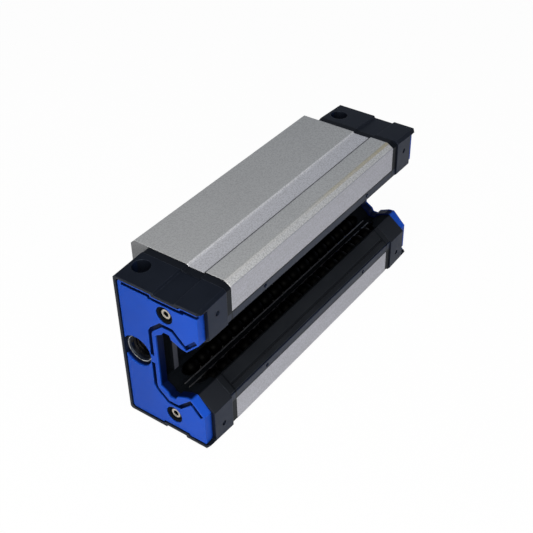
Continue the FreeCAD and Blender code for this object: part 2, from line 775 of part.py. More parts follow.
MIDDLE_RETAINER = [
    point(f"upper_row + {WALL_EDGE}", "row_side + lane_radius - seat_gap"),
    arc("upper_row", "row_side", "retainer_radius"),
    point(f"upper_row + {MIDDLE_EDGE}", MIDDLE_SIDE),
    point(f"lower_row - {MIDDLE_EDGE}", MIDDLE_SIDE),
    arc("lower_row", "row_side", "retainer_radius"),
    point(f"lower_row - {WALL_EDGE}", "row_side + lane_radius - seat_gap"),
]

TOP_LIP_SIDE = "row_side - sqrt(retainer_radius ^ 2 - top_retainer_lip_gap ^ 2)"

TOP_RETAINER = [
    point("channel_ceiling + seat_gap", f"row_side - {WALL_EDGE}"),
    arc("upper_row", "row_side", "retainer_radius"),
    point("upper_row - top_retainer_lip_gap", TOP_LIP_SIDE),
    point("upper_row - top_retainer_lip_gap", f"{TOP_LIP_SIDE} - top_retainer_lip_width"),
    point("channel_ceiling + seat_gap + top_retainer_thickness",
          f"{TOP_LIP_SIDE} - top_retainer_lip_width - top_retainer_lip_bevel"),
]


def make_channel_strips():
    """Bottom seals, retainers and wires along the channel."""
    for leg, mark in ((1, "left"), (-1, "right")):
        seal = make_strip(f"{mark}_bottom_seal", leg, BOTTOM_SEAL, "plate_face - seat_gap")
        middle = f"{leg} * (strip_inner_side + strip_outer_side) / 2"
        spots = [("strip_hole_spacing / 2", middle), ("-strip_hole_spacing / 2", middle)]
        wide = "strip_hole_diameter"
        cut_holes(seal, "clip_holes", "XZ_Plane", "body_drop", spots, wide, "strip_thickness")
        make_strip(f"{mark}_lower_retainer", leg, LOWER_RETAINER, "plate_face - seat_gap")
        make_strip(f"{mark}_middle_retainer", leg, MIDDLE_RETAINER, "plate_face - seat_gap")
        for place, drop in (("upper", "upper_row + wire_offset"), ("lower", "lower_row - wire_offset")):
            wire = new_body(f"{place}_{mark}_wire")
            round_section = sketch_on(wire, "section", "YZ_Plane")
            add_circle(round_section, f"-({drop})", f"{leg} * wire_side", "wire_diameter")
            pad(wire, round_section, "2 * (plate_face + wire_reach)", midplane=True)
    top = new_body("top_retainer")
    section = sketch_on(top, "section", "YZ_Plane")
    add_outline(section, across(TOP_RETAINER))
    pad(top, section, "2 * (plate_face + top_retainer_reach)", midplane=True)


# Balls fill the straight part of a circuit in even steps, and each turn in even angles
ROW_BALLS = "floor(2 * plate_face / (ball_diameter + ball_play))"
TURN_BALLS = "floor(90 / asin((ball_diameter + ball_play) / (2 * turn_radius)) * 1deg)"


def add_ball(body, name, place):
    ball = body.newObject("PartDesign::AdditiveSphere", name)
    ball.setExpression("Radius", bind("ball_radius"))
    for axis, text in zip("xyz", place):
        ball.setExpression(f"Placement.Base.{axis}", bind(text))
    return ball


def make_ball_row(label, place):
    """A straight row of balls along X."""
    body = new_body(label, solids=int(number(ROW_BALLS)))
    pitch = f"(2 * plate_face / {ROW_BALLS})"
    first = add_ball(body, "first_ball", (f"{pitch} / 2 - plate_face", *place))
    row = body.newObject("PartDesign::LinearPattern", "row")
    row.Originals = [first]
    row.Direction = (origin_feature(body, "X_Axis"), [""])
    row.setExpression("Length", bind(f"{pitch} * ({ROW_BALLS} - 1)"))
    row.setExpression("Occurrences", bind(ROW_BALLS))
    body.Tip = row


def make_turn_balls(label, circuit, end):
    """The balls in one turn, spread evenly over its half circle."""
    name, drop, rise, leg = circuit
    count = int(number(TURN_BALLS))
    body = new_body(label, solids=count)
    place_y, place_z = turn_place(circuit)
    for step in range(count):
        angle = 180 * (step + 0.5) / count
        back = f"cos({angle}deg) / 2"
        add_ball(body, f"ball_{step + 1}", (
            f"{end} * (plate_face + turn_radius * sin({angle}deg))",
            f"{place_y} - ({rise}) * {back}",
            f"{place_z} - {leg} * return_reach * {back}",
        ))


def make_balls():
    for circuit in CIRCUITS:
        name = circuit[0]
        make_ball_row(f"{name}_loaded_balls", loaded_place(circuit))
        make_ball_row(f"{name}_return_balls", return_place(circuit))
        make_turn_balls(f"{name}_front_turn_balls", circuit, -1)
        make_turn_balls(f"{name}_rear_turn_balls", circuit, 1)


def make_ends():
    """The pieces of both ends, modelled at the rear and turned about Y for the front."""
    turned = Placement(Vector(), Rotation(Vector(0, 1, 0), 180))
    for end, place in (("front", turned), ("rear", Placement())):
        for body in (
            make_return_plate(f"{end}_return_plate"),
            make_end_cap(f"{end}_end_cap"),
            make_end_seal(f"{end}_end_seal"),
            make_seal_screws(f"{end}_seal_screws"),
        ):
            body.Placement = place


def check_document():
    """Stops if anything in the document failed or a sub-part is not the solids it should be."""
    for item in doc.Objects:
        if "Invalid" in item.State or "Error" in item.State:
            raise RuntimeError(f"{item.Name} failed: {item.State}")
    for body, solids in NODES:
        shape = body.Shape
        if shape.isNull() or not shape.isValid():
            raise RuntimeError(f"{body.Label} has no valid shape")
        if len(shape.Solids) != solids:
            raise RuntimeError(f"{body.Label} has {len(shape.Solids)} solids, not {solids}")


make_steel_body()
make_ends()
make_channel_strips()
make_balls()
doc.recompute()
check_document()
os.makedirs("parts", exist_ok=True)
for body, solids in NODES:
    body.Shape.exportStep(f"parts/{body.Label}.step")
    print(body.Label, solids, round(body.Shape.Volume, 2))
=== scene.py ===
import json
import math

import bpy
from mathutils import Matrix, Vector


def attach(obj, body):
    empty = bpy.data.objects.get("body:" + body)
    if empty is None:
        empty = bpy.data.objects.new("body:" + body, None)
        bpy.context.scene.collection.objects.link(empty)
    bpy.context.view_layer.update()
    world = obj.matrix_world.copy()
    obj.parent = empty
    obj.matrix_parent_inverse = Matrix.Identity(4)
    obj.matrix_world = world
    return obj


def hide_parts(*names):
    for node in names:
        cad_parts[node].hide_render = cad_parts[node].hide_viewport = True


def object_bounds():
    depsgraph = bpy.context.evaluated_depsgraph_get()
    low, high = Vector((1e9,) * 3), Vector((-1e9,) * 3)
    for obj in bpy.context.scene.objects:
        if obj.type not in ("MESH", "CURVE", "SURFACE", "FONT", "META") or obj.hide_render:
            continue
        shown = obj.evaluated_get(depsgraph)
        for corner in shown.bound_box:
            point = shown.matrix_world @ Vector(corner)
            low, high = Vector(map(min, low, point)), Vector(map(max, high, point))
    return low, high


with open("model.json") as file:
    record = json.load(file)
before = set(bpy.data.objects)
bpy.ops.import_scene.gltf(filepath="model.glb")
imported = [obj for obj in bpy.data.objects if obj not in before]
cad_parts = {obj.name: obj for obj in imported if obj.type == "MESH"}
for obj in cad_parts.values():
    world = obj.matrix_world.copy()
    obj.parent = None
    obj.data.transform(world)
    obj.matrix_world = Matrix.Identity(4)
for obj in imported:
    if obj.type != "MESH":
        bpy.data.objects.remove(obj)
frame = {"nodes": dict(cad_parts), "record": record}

# Linear guide block lying on its right leg, with the blue end seal towards the camera.
# X runs along the rail, +Y points out of the mounting face and +Z is up. Lengths are metres.

MM = 0.001
ENDS = (("front", -1), ("rear", 1))
LEGS = (("left", 1), ("right", -1))
nodes = frame["nodes"]
cad_box = [list(corner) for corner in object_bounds()]
bpy.ops.object.select_all(action="DESELECT")

# Places on the block
FLOOR_HEIGHT = cad_box[0][2]
STEEL_END = 39.4 * MM
RELIEF_TOP = -18.8 * MM
RELIEF_END = -24.9 * MM
FOOT_CHAMFER = -30.6 * MM
FOOT_FACE = -32.4 * MM
MOUNTING_ALONG = 25.0 * MM
MOUNTING_ACROSS = 17.5 * MM
MOUNTING_RADIUS = 2.5 * MM
CHANNEL_CEILING = -14.6 * MM
CHANNEL_SIDE = 14.9 * MM
STRIP_EDGE = 15.1 * MM
CAP_CEILING = -16.6 * MM
CAP_MOUTH_SIDE = 13.5 * MM
RIB_PLACE = 44.3 * MM
RIB_HALF = 1.0 * MM
PORT_DROP = 10.5 * MM
PORT_WALL_END = 50.45 * MM
PORT_FACE = 50.9 * MM
PORT_RADIUS = 3.5 * MM
PORT_RING = 3.95 * MM
SCREW_DROP = 21.4 * MM
SCREW_SIDE = 17.2 * MM
COLLAR_RADIUS = 2.75 * MM
SEAL_FACE = 52.0 * MM
LIP_WAIST = -27.6 * MM


# Shader trees

X, Y, Z = range(3)
BLUR = 0.1 * MM
BAND_CORE = 0.7


def feed(tree, socket, value):
    """Gives an input a number, a colour or the output of another node."""
    if isinstance(value, bpy.types.NodeSocket):
        tree.links.new(value, socket)
    else:
        socket.default_value = value


def add_node(tree, kind, inputs=None, **settings):
    """A new node with its settings and what its inputs are fed."""
    node = tree.nodes.new(kind)
    for key, value in settings.items():
        setattr(node, key, value)
    for label, value in (inputs or {}).items():
        feed(tree, node.inputs[label], value)
    return node


def ramp_between(tree, factor, low, high, start=0.0, end=1.0):
    """A value that goes from low to high as the factor goes from start to end."""
    values = {"Value": factor, "From Min": start, "From Max": end, "To Min": low, "To Max": high}
    return add_node(tree, "ShaderNodeMapRange", values).outputs["Result"]


def mix_colours(tree, factor, first, second):
    """A mix of two colours, each a socket or a colour."""
    node = add_node(tree, "ShaderNodeMix", {"Factor": factor}, data_type="RGBA")
    sockets = [socket for socket in node.inputs if socket.type == "RGBA"]
    for socket, colour in zip(sockets, (first, second)):
        feed(tree, socket, (*colour, 1.0) if isinstance(colour, tuple) else colour)
    return next(socket for socket in node.outputs if socket.type == "RGBA")


def join_values(tree, operation, first, second):
    """A sum, product or other joint value of two values."""
    return add_node(tree, "ShaderNodeMath", {0: first, 1: second}, operation=operation).outputs["Value"]


def overlap(tree, *masks):
    """The product of masks or shares."""
    total = masks[0]
    for mask in masks[1:]:
        total = join_values(tree, "MULTIPLY", total, mask)
    return total


def size_of(tree, value):
    """A value without its sign."""
    return join_values(tree, "ABSOLUTE", value, 0.0)


def diagonal(tree, first, second):
    """The length of the diagonal over two distances at right angles."""
    squares = [overlap(tree, part, part) for part in (first, second)]
    return join_values(tree, "SQRT", join_values(tree, "ADD", *squares), 0.0)


def split_axes(tree, vector):
    """The three parts of a place or a direction."""
    return tuple(add_node(tree, "ShaderNodeSeparateXYZ", {"Vector": vector}).outputs)


def facing(tree, axis):
    """How squarely a face looks along an axis, either way."""
    direction = add_node(tree, "ShaderNodeNewGeometry").outputs["True Normal"]
    return size_of(tree, split_axes(tree, direction)[axis])


def above(tree, value, edge, blur=BLUR):
    """Nought below an edge and one above it."""
    return ramp_between(tree, value, 0.0, 1.0, edge - blur, edge + blur)


def below(tree, value, edge, blur=BLUR):
    """One below an edge and nought above it."""
    return ramp_between(tree, value, 1.0, 0.0, edge - blur, edge + blur)


def band_mask(tree, value, middle, reach):
    """One where a value is near the middle of a band, nought further off than its reach."""
    distance = size_of(tree, join_values(tree, "SUBTRACT", value, middle))
    return ramp_between(tree, distance, 1.0, 0.0, BAND_CORE * reach, reach)


# Node groups that the finishes share

EDGE_TURN = (0.995, 0.86)
EDGE_BREAKS = (0.35, 0.62)
CREVICE_SHADE_UNEVENNESS = 0.12
CREVICE_SHADE_NOISE_SCALE = 1400.0


def new_group(name, values, outputs):
    """An empty node group that takes coordinates and named values."""
    group = bpy.data.node_groups.new(name, "ShaderNodeTree")
    group.interface.new_socket("Coordinates", in_out="INPUT", socket_type="NodeSocketVector")
    for label, value in values.items():
        socket = group.interface.new_socket(label, in_out="INPUT", socket_type="NodeSocketFloat")
        socket.default_value = value
    for label, kind in outputs.items():
        group.interface.new_socket(label, in_out="OUTPUT", socket_type=kind)
    given = add_node(group, "NodeGroupInput").outputs
    made = add_node(group, "NodeGroupOutput").inputs
    return group, given, made


def make_moulded_grain():
    """Fine grain of a moulded surface, with slow changes of tone and gloss."""
    group, given, made = new_group(
        "moulded_grain", {"Grain Scale": 6000.0, "Patch Scale": 90.0},
        {"Height": "NodeSocketFloat", "Patches": "NodeSocketFloat"})
    grain = add_node(group, "ShaderNodeTexNoise", {
        "Vector": given["Coordinates"], "Scale": given["Grain Scale"], "Detail": 3.0})
    patches = add_node(group, "ShaderNodeTexNoise", {
        "Vector": given["Coordinates"], "Scale": given["Patch Scale"], "Detail": 5.0, "Roughness": 0.6})
    feed(group, made["Height"], grain.outputs["Fac"])
    feed(group, made["Patches"], patches.outputs["Fac"])
    return group


def make_edge_wear_and_highlight():
    """Mask of the sharp outer edges, broken up by noise, for wear and painted highlights, and the normal
    of rounded edges.
    """
    group, given, made = new_group(
        "edge_wear_and_highlight", {"Width": 0.3 * MM, "Break Up": 900.0},
        {"Mask": "NodeSocketFloat", "Normal": "NodeSocketVector"})
    rounded = add_node(group, "ShaderNodeBevel", {"Radius": given["Width"]}, samples=6).outputs["Normal"]
    plain = add_node(group, "ShaderNodeNewGeometry").outputs["True Normal"]
    turn = add_node(group, "ShaderNodeVectorMath", {0: rounded, 1: plain}, operation="DOT_PRODUCT")
    edge = ramp_between(group, turn.outputs["Value"], 0.0, 1.0, *EDGE_TURN)
    noise = add_node(group, "ShaderNodeTexNoise", {
        "Vector": given["Coordinates"], "Scale": given["Break Up"], "Detail": 4.0})
    worn_and_lit = ramp_between(group, noise.outputs["Fac"], 0.0, 1.0, *EDGE_BREAKS)
    # Finishes paint this mask paler: partly wear, partly a painted highlight on the edges.
    feed(group, made["Mask"], overlap(group, edge, worn_and_lit))
    feed(group, made["Normal"], rounded)
    return group


def make_crevice_shade():
    """Ambient-occlusion mask of grooves, corners and gaps, for painted shade there."""
    group, given, made = new_group(
        "crevice_painted_shade", {"Reach": 1.2 * MM, "Open": 0.85, "Closed": 0.45}, {"Mask": "NodeSocketFloat"})
    # Ambient occlusion made uneven by noise: painted shade in grooves, corners and gaps.
    shade = add_node(group, "ShaderNodeAmbientOcclusion", {"Distance": given["Reach"]}, samples=8)
    noise = add_node(group, "ShaderNodeTexNoise", {
        "Vector": given["Coordinates"], "Scale": CREVICE_SHADE_NOISE_SCALE, "Detail": 3.0})
    uneven = ramp_between(group, noise.outputs["Fac"], -CREVICE_SHADE_UNEVENNESS, CREVICE_SHADE_UNEVENNESS)
    total = join_values(group, "ADD", shade.outputs["AO"], uneven)
    feed(group, made["Mask"], ramp_between(group, total, 0.0, 1.0, given["Open"], given["Closed"]))
    return group


MOULDED_GRAIN = make_moulded_grain()
EDGE_WEAR_AND_HIGHLIGHT = make_edge_wear_and_highlight()
CREVICE_SHADE = make_crevice_shade()


# Finishes

SQUARE_ON = (0.9, 0.97)
PATCH_SPREAD = (0.3, 0.7)
CHANNEL_PAINTED_SHADE = (0.0003, 0.0003, 0.0004)
CHANNEL_SHADE_ROUGHNESS = 0.95
JOINT_LINE = (0.0008, 0.0008, 0.001)
COOL_SHEEN = (0.6, 0.76, 1.0, 1.0)


def new_finish(name):
    """An empty material, its tree, the inputs of its shader and its object coordinates."""
    material = bpy.data.materials.new(name)
    material.use_nodes = True
    tree = material.node_tree
    shader = tree.nodes["Principled BSDF"].inputs
    place = add_node(tree, "ShaderNodeTexCoord").outputs["Object"]
    return material, tree, shader, place


def use_group(tree, group, place, **values):
    """The outputs of a shared group, with a finish's own values."""
    inputs = {label.replace("_", " "): value for label, value in values.items()}
    return add_node(tree, "ShaderNodeGroup", {"Coordinates": place, **inputs}, node_tree=group).outputs


def add_bump(tree, shader, height, strength, depth, normal=None):
    """Bump from a height onto the shader's normal."""
    bump = add_node(tree, "ShaderNodeBump", {"Height": height, "Strength": strength, "Distance": depth})
    if normal is not None:
        feed(tree, bump.inputs["Normal"], normal)
    feed(tree, shader["Normal"], bump.outputs["Normal"])


def vary_gloss(tree, shader, patches, middle, swing):
    """Roughness that changes a little from patch to patch."""
    gloss = ramp_between(tree, patches, middle - swing, middle + swing, *PATCH_SPREAD)
    feed(tree, shader["Roughness"], gloss)


def paint_channel_shade(tree, shader, place, colour, also=0.0):
    """Paints dull, near-black shade on the faces beside the rail and on another mask. The flared mouth
    keeps its colour.
    """
    _, outward, aside = split_axes(tree, place)
    beside_rail = overlap(
        tree, below(tree, size_of(tree, aside), CHANNEL_SIDE),
        above(tree, outward, LIP_WAIST, blur=0.2 * MM), below(tree, outward, CHANNEL_CEILING))
    # Painted shade: the faces inside the channel are turned near black and dull.
    channel_shade = join_values(tree, "MAXIMUM", beside_rail, also)
    plain_roughness = shader["Roughness"].links[0].from_socket
    feed(tree, shader["Roughness"], join_values(tree, "MAXIMUM", plain_roughness, overlap(tree, channel_shade, CHANNEL_SHADE_ROUGHNESS)))
    shaded_colour = mix_colours(tree, channel_shade, colour, CHANNEL_PAINTED_SHADE)
    feed(tree, shader["Base Color"], shaded_colour)
    return shaded_colour


def end_line(tree, place, colour):
    """A dark joint line where the end plates begin."""
    along = size_of(tree, split_axes(tree, place)[X])
    return mix_colours(tree, band_mask(tree, along, STEEL_END, reach=0.25 * MM), colour, JOINT_LINE)


def moulded_plastic(name, dark, pale, worn_and_lit, gloss, specular, grain_scale=5200.0, grain_depth=0.012 * MM):
    """Moulded plastic with a fine grain and paler edges of wear and painted highlight."""
    material, tree, shader, place = new_finish(name)
    grain = use_group(tree, MOULDED_GRAIN, place, Grain_Scale=grain_scale)
    wear_and_highlight = use_group(tree, EDGE_WEAR_AND_HIGHLIGHT, place, Width=0.25 * MM)
    body = mix_colours(tree, grain["Patches"], dark, pale)
    colour = mix_colours(tree, wear_and_highlight["Mask"], body, worn_and_lit)
    feed(tree, shader["Base Color"], colour)
    vary_gloss(tree, shader, grain["Patches"], gloss, swing=0.06)
    add_bump(tree, shader, grain["Height"], strength=0.35, depth=grain_depth, normal=wear_and_highlight["Normal"])
    feed(tree, shader["Specular Tint"], COOL_SHEEN)
    feed(tree, shader["Specular IOR Level"], specular)
    return material, tree, shader, place, colour


CAP_FLARE_PAINTED_LIGHT = (0.011, 0.012, 0.015)
CAP_FLARE_FACING = 0.62
CAP_RAIL_SIDE_PAINTED_LIGHT = (0.004, 0.0075, 0.021)
CAP_RIB_PAINTED_LIGHT = (0.05, 0.052, 0.065)
PORT_RING_PAINTED_HIGHLIGHT = (0.36, 0.37, 0.38)
PORT_HIGHLIGHT_NOISE_SCALE = 700.0


def black_cap_finish():
    """Black plastic, with a painted highlight ring in the port's mouth, painted shade in the channel and
    round the screws, and painted light on the flares, the rail side and the rib.
    """
    material, tree, shader, place, colour = moulded_plastic(
        "black_cap_plastic", dark=(0.0028, 0.0036, 0.0062), pale=(0.005, 0.0064, 0.011),
        worn_and_lit=(0.016, 0.018, 0.027), gloss=0.42, specular=0.2)
    along, outward, aside = split_axes(tree, place)
    along = size_of(tree, along)
    beside = size_of(tree, aside)
    mount_facing = facing(tree, Y)
    on_rail_side = ramp_between(tree, mount_facing, 0.0, 1.0, *SQUARE_ON)
    # Painted light: the slanted flare faces are made paler.
    on_flare = overlap(tree, band_mask(tree, mount_facing, CAP_FLARE_FACING, reach=0.2),
                       below(tree, beside, CAP_MOUTH_SIDE))
    lightened = mix_colours(tree, on_flare, colour, CAP_FLARE_PAINTED_LIGHT)
    # Painted light: faces looking along Y get a paler, bluer tone.
    rail_side_lit = mix_colours(tree, on_rail_side, lightened, CAP_RAIL_SIDE_PAINTED_LIGHT)

    # Painted highlight: a broken pale ring at the mouth of the grease port.
    from_port = diagonal(tree, join_values(tree, "ADD", outward, PORT_DROP), aside)
    noise = add_node(tree, "ShaderNodeTexNoise", {"Vector": place, "Scale": PORT_HIGHLIGHT_NOISE_SCALE})
    highlight_ring = overlap(
        tree, band_mask(tree, from_port, PORT_RING, reach=0.1 * MM),
        band_mask(tree, along, PORT_FACE, reach=0.2 * MM),
        ramp_between(tree, noise.outputs["Fac"], low=0.15, high=1.0, start=0.35, end=0.6))
    ring_highlighted = mix_colours(tree, highlight_ring, rail_side_lit, PORT_RING_PAINTED_HIGHLIGHT)

    # Painted shade on the screw collars, in the gap round each screw head.
    from_screw = diagonal(tree, join_values(tree, "ADD", outward, SCREW_DROP),
                          join_values(tree, "SUBTRACT", beside, SCREW_SIDE))
    on_collar = below(tree, from_screw, COLLAR_RADIUS, blur=0.05 * MM)
    shaded_colour = paint_channel_shade(tree, shader, place, ring_highlighted, also=on_collar)

    # Painted light on the rib's face inside the cap's mouth.
    lit_rib = overlap(tree, band_mask(tree, along, RIB_PLACE, reach=RIB_HALF),
                  band_mask(tree, outward, CAP_CEILING, reach=0.2 * MM), on_rail_side)
    feed(tree, shader["Base Color"], mix_colours(tree, lit_rib, shaded_colour, CAP_RIB_PAINTED_LIGHT))
    return material


def black_plate_finish():
    """Black plastic, with painted shade beside the rail."""
    material, tree, shader, place, colour = moulded_plastic(
        "black_plate_plastic", dark=(0.002, 0.0025, 0.004), pale=(0.004, 0.0045, 0.0065),
        worn_and_lit=(0.014, 0.016, 0.021), gloss=0.48, specular=0.16)
    paint_channel_shade(tree, shader, place, colour)
    return material


STRIP_RIB_SCALE = 430.0
STRIP_RIB_DEPTH = 0.45
STRIP_VALLEY_PAINTED_SHADE = (0.002, 0.003, 0.006)
STRIP_GAP_PAINTED_SHADOW = (0.001, 0.001, 0.0015)


def black_strip_finish():
    """Black strip with painted shade in the valleys of its ribs and a painted shadow in the gap beside
    the steel.
    """
    material, tree, shader, place, colour = moulded_plastic(
        "black_strip_plastic", dark=(0.009, 0.012, 0.025), pale=(0.021, 0.027, 0.05),
        worn_and_lit=(0.034, 0.04, 0.06), gloss=0.45, specular=0.25)
    # Ribs drawn as painted shade in their valleys.
    ribs = add_node(tree, "ShaderNodeTexWave", {"Vector": place, "Scale": STRIP_RIB_SCALE},
                    wave_type="BANDS", bands_direction="X")
    valley_shaded = mix_colours(tree, overlap(tree, ribs.outputs["Fac"], STRIP_RIB_DEPTH), colour, STRIP_VALLEY_PAINTED_SHADE)
    # Painted shadow in the gap between the strip and the steel.
    beside = size_of(tree, split_axes(tree, place)[Z])
    gap_shadowed = mix_colours(tree, band_mask(tree, beside, STRIP_EDGE, reach=0.5 * MM), valley_shaded, STRIP_GAP_PAINTED_SHADOW)
    feed(tree, shader["Base Color"], end_line(tree, place, gap_shadowed))
    return material


def black_retainer_finish():
    """Black plastic, with painted shade beside the rail but not on the flared mouth."""
    material, tree, shader, place, colour = moulded_plastic(
        "black_retainer_plastic", dark=(0.005, 0.0055, 0.007), pale=(0.013, 0.014, 0.016),
        worn_and_lit=(0.02, 0.022, 0.026), gloss=0.38, specular=0.2)
    paint_channel_shade(tree, shader, place, end_line(tree, place, colour))
    return material


SEAL_SHADE_DEPTH = (0.2 * MM, 0.75 * MM)
SEAL_SHADE_START = -11.0 * MM
SEAL_SHADE_SHARE = 0.65
SEAL_PAINTED_LIGHT = (0.009, 0.062, 0.42)
SEAL_PAINTED_SHADE = (0.0005, 0.003, 0.023)
SEAL_CREVICE_SHADE = (0.001, 0.004, 0.03)


def blue_seal_finish():
    """Blue plastic, with painted shade in its grooves and on the walls of its holes and lip, and painted
    light towards the rail.
    """
    material, tree, shader, place, colour = moulded_plastic(
        "blue_seal_plastic", dark=(0.004, 0.036, 0.255), pale=(0.008, 0.054, 0.36),
        worn_and_lit=(0.02, 0.12, 0.60), gloss=0.42, specular=0.09, grain_scale=4200.0, grain_depth=0.015 * MM)
    along, outward, _ = split_axes(tree, place)
    # Painted shade on the walls of the holes and the lip, deeper than the face.
    depth = join_values(tree, "SUBTRACT", SEAL_FACE, size_of(tree, along))
    deep = ramp_between(tree, depth, 0.0, 1.0, *SEAL_SHADE_DEPTH)
    over_waist = above(tree, outward, LIP_WAIST, blur=0.4 * MM)
    # Painted light: the blue grows paler towards the rail.
    near_rail = ramp_between(tree, outward, 0.0, SEAL_SHADE_SHARE, SEAL_SHADE_START, LIP_WAIST)
    bright = mix_colours(tree, near_rail, colour, SEAL_PAINTED_LIGHT)
    deep_shaded = mix_colours(tree, overlap(tree, deep, over_waist), bright, SEAL_PAINTED_SHADE)
    # Painted shade in the grooves and corners.
    shade_in_crevices = use_group(tree, CREVICE_SHADE, place, Reach=1.6 * MM, Open=0.8, Closed=0.45)
    feed(tree, shader["Base Color"], mix_colours(tree, shade_in_crevices["Mask"], deep_shaded, SEAL_CREVICE_SHADE))
    return material


STEEL_DULL = (0.52, 0.525, 0.53)
STEEL_PALE = (0.61, 0.615, 0.62)
STEEL_MILLED = (0.70, 0.70, 0.75)
STEEL_STEP_PAINTED_HIGHLIGHT = (0.84, 0.84, 0.86)
STEP_PLACE = RELIEF_TOP - 0.2 * MM
STEEL_SLANT_PAINTED_LIGHT = (0.72, 0.72, 0.73)
STEEL_SLANT_FACING = 0.6
STEEL_STAIN = (0.56, 0.5, 0.34)
STAIN_START = -10.0 * MM
STAIN_FULL = 20.0 * MM
STEEL_FOOT = (0.47, 0.47, 0.53)
STEEL_PIT = (0.30, 0.30, 0.315)
STEEL_LINE = (0.36, 0.365, 0.385)
STEEL_LINE_SCALE = (40.0, 4200.0, 4200.0)
STEEL_END_PAINTED_SHADE = (0.085, 0.087, 0.094)
END_SHADE_SHARE = 0.75
STEEL_EDGE_WEAR_AND_HIGHLIGHT = (0.66, 0.66, 0.68)
EDGE_SHARE = 0.5
STEEL_PAINTED_SHADE = (0.03, 0.03, 0.033)
STEP_SHADOW_PLACE = RELIEF_END + 0.45 * MM
STEP_SHADOW_SHARE = 0.85
STEEL_GLOSS = (0.46, 0.6)


def ground_steel_finish():
    """Matte ground steel, with lines on the mounting face, a stain, painted highlights and painted shade.
    """
    material, tree, shader, place = new_finish("ground_steel")
    grain = use_group(tree, MOULDED_GRAIN, place, Grain_Scale=2600.0, Patch_Scale=45.0)
    wear_and_highlight = use_group(tree, EDGE_WEAR_AND_HIGHLIGHT, place, Width=0.3 * MM)
    along, outward, _ = split_axes(tree, place)
    mount_facing = facing(tree, Y)

    plain = mix_colours(tree, grain["Patches"], STEEL_DULL, STEEL_PALE)
    relief = overlap(tree, below(tree, outward, RELIEF_TOP), above(tree, outward, RELIEF_END))
    milled = mix_colours(tree, relief, plain, STEEL_MILLED)
    # Painted highlight along the edge of the relief step.
    step = band_mask(tree, outward, STEP_PLACE, reach=0.16 * MM)
    step_highlighted = mix_colours(tree, step, milled, STEEL_STEP_PAINTED_HIGHLIGHT)
    # Painted light on the slanted foot faces.
    on_slant = overlap(tree, band_mask(tree, mount_facing, STEEL_SLANT_FACING, reach=0.3),
                       below(tree, outward, FOOT_CHAMFER))
    slant_lit = mix_colours(tree, on_slant, step_highlighted, STEEL_SLANT_PAINTED_LIGHT)
    stain = overlap(tree, band_mask(tree, outward, FOOT_CHAMFER, reach=0.6 * MM),
                    ramp_between(tree, grain["Patches"], low=0.3, high=0.9, start=0.4, end=0.6),
                    ramp_between(tree, along, low=0.1, high=1.0, start=STAIN_START, end=STAIN_FULL))
    stained = mix_colours(tree, stain, slant_lit, STEEL_STAIN)
    footed = mix_colours(tree, below(tree, outward, FOOT_FACE), stained, STEEL_FOOT)
    pits = ramp_between(tree, grain["Height"], low=0.0, high=0.5, start=0.42, end=0.62)
    pitted = mix_colours(tree, pits, footed, STEEL_PIT)

    stretch = add_node(tree, "ShaderNodeMapping", {"Vector": place, "Scale": STEEL_LINE_SCALE})
    noise = add_node(tree, "ShaderNodeTexNoise", {
        "Vector": stretch.outputs["Vector"], "Scale": 1.0, "Detail": 2.0})
    lines = overlap(tree, ramp_between(tree, noise.outputs["Fac"], low=0.0, high=0.5, start=0.4, end=0.7),
                    ramp_between(tree, mount_facing, 0.0, 1.0, *SQUARE_ON))
    lined = mix_colours(tree, lines, pitted, STEEL_LINE)
    # Painted shade on the end faces.
    on_end = ramp_between(tree, facing(tree, X), 0.0, END_SHADE_SHARE, *SQUARE_ON)
    end_shaded = mix_colours(tree, on_end, lined, STEEL_END_PAINTED_SHADE)
    # Paler steel edges: partly wear, partly a painted highlight.
    worn_and_lit = mix_colours(tree, overlap(tree, wear_and_highlight["Mask"], EDGE_SHARE), end_shaded, STEEL_EDGE_WEAR_AND_HIGHLIGHT)
    # Painted shade in crevices and a painted shadow beside the relief step.
    shade_in_crevices = use_group(tree, CREVICE_SHADE, place, Reach=0.8 * MM, Open=0.7, Closed=0.4)
    step_shadow = band_mask(tree, outward, STEP_SHADOW_PLACE, reach=0.3 * MM)
    shade_mask = join_values(tree, "MAXIMUM", shade_in_crevices["Mask"], overlap(tree, step_shadow, STEP_SHADOW_SHARE))
    feed(tree, shader["Base Color"], mix_colours(tree, shade_mask, worn_and_lit, STEEL_PAINTED_SHADE))

    feed(tree, shader["Roughness"], ramp_between(tree, grain["Height"], *STEEL_GLOSS, *PATCH_SPREAD))
    feed(tree, shader["Metallic"], 0.8)
    add_bump(tree, shader, grain["Height"], strength=0.5, depth=0.01 * MM, normal=wear_and_highlight["Normal"])
    return material


CORNER_PAINTED_SHADE = (0.012, 0.011, 0.01)


def bright_steel(name, dull, bright, worn_and_lit, gloss, grain_scale, edge):
    """Turned or drawn steel with a fine grain, paler edges of wear and painted highlight, and painted
    shade in its corners.
    """
    material, tree, shader, place = new_finish(name)
    grain = use_group(tree, MOULDED_GRAIN, place, Grain_Scale=grain_scale, Patch_Scale=400.0)
    wear_and_highlight = use_group(tree, EDGE_WEAR_AND_HIGHLIGHT, place, Width=edge)
    shade_in_crevices = use_group(tree, CREVICE_SHADE, place, Reach=1.6 * MM, Open=0.8, Closed=0.5)
    body = mix_colours(tree, grain["Patches"], dull, bright)
    lightened = mix_colours(tree, wear_and_highlight["Mask"], body, worn_and_lit)
    feed(tree, shader["Base Color"], mix_colours(tree, shade_in_crevices["Mask"], lightened, CORNER_PAINTED_SHADE))
    vary_gloss(tree, shader, grain["Patches"], gloss, swing=0.07)
    feed(tree, shader["Metallic"], 0.95)
    add_bump(tree, shader, grain["Height"], strength=0.3, depth=0.006 * MM, normal=wear_and_highlight["Normal"])
    return material


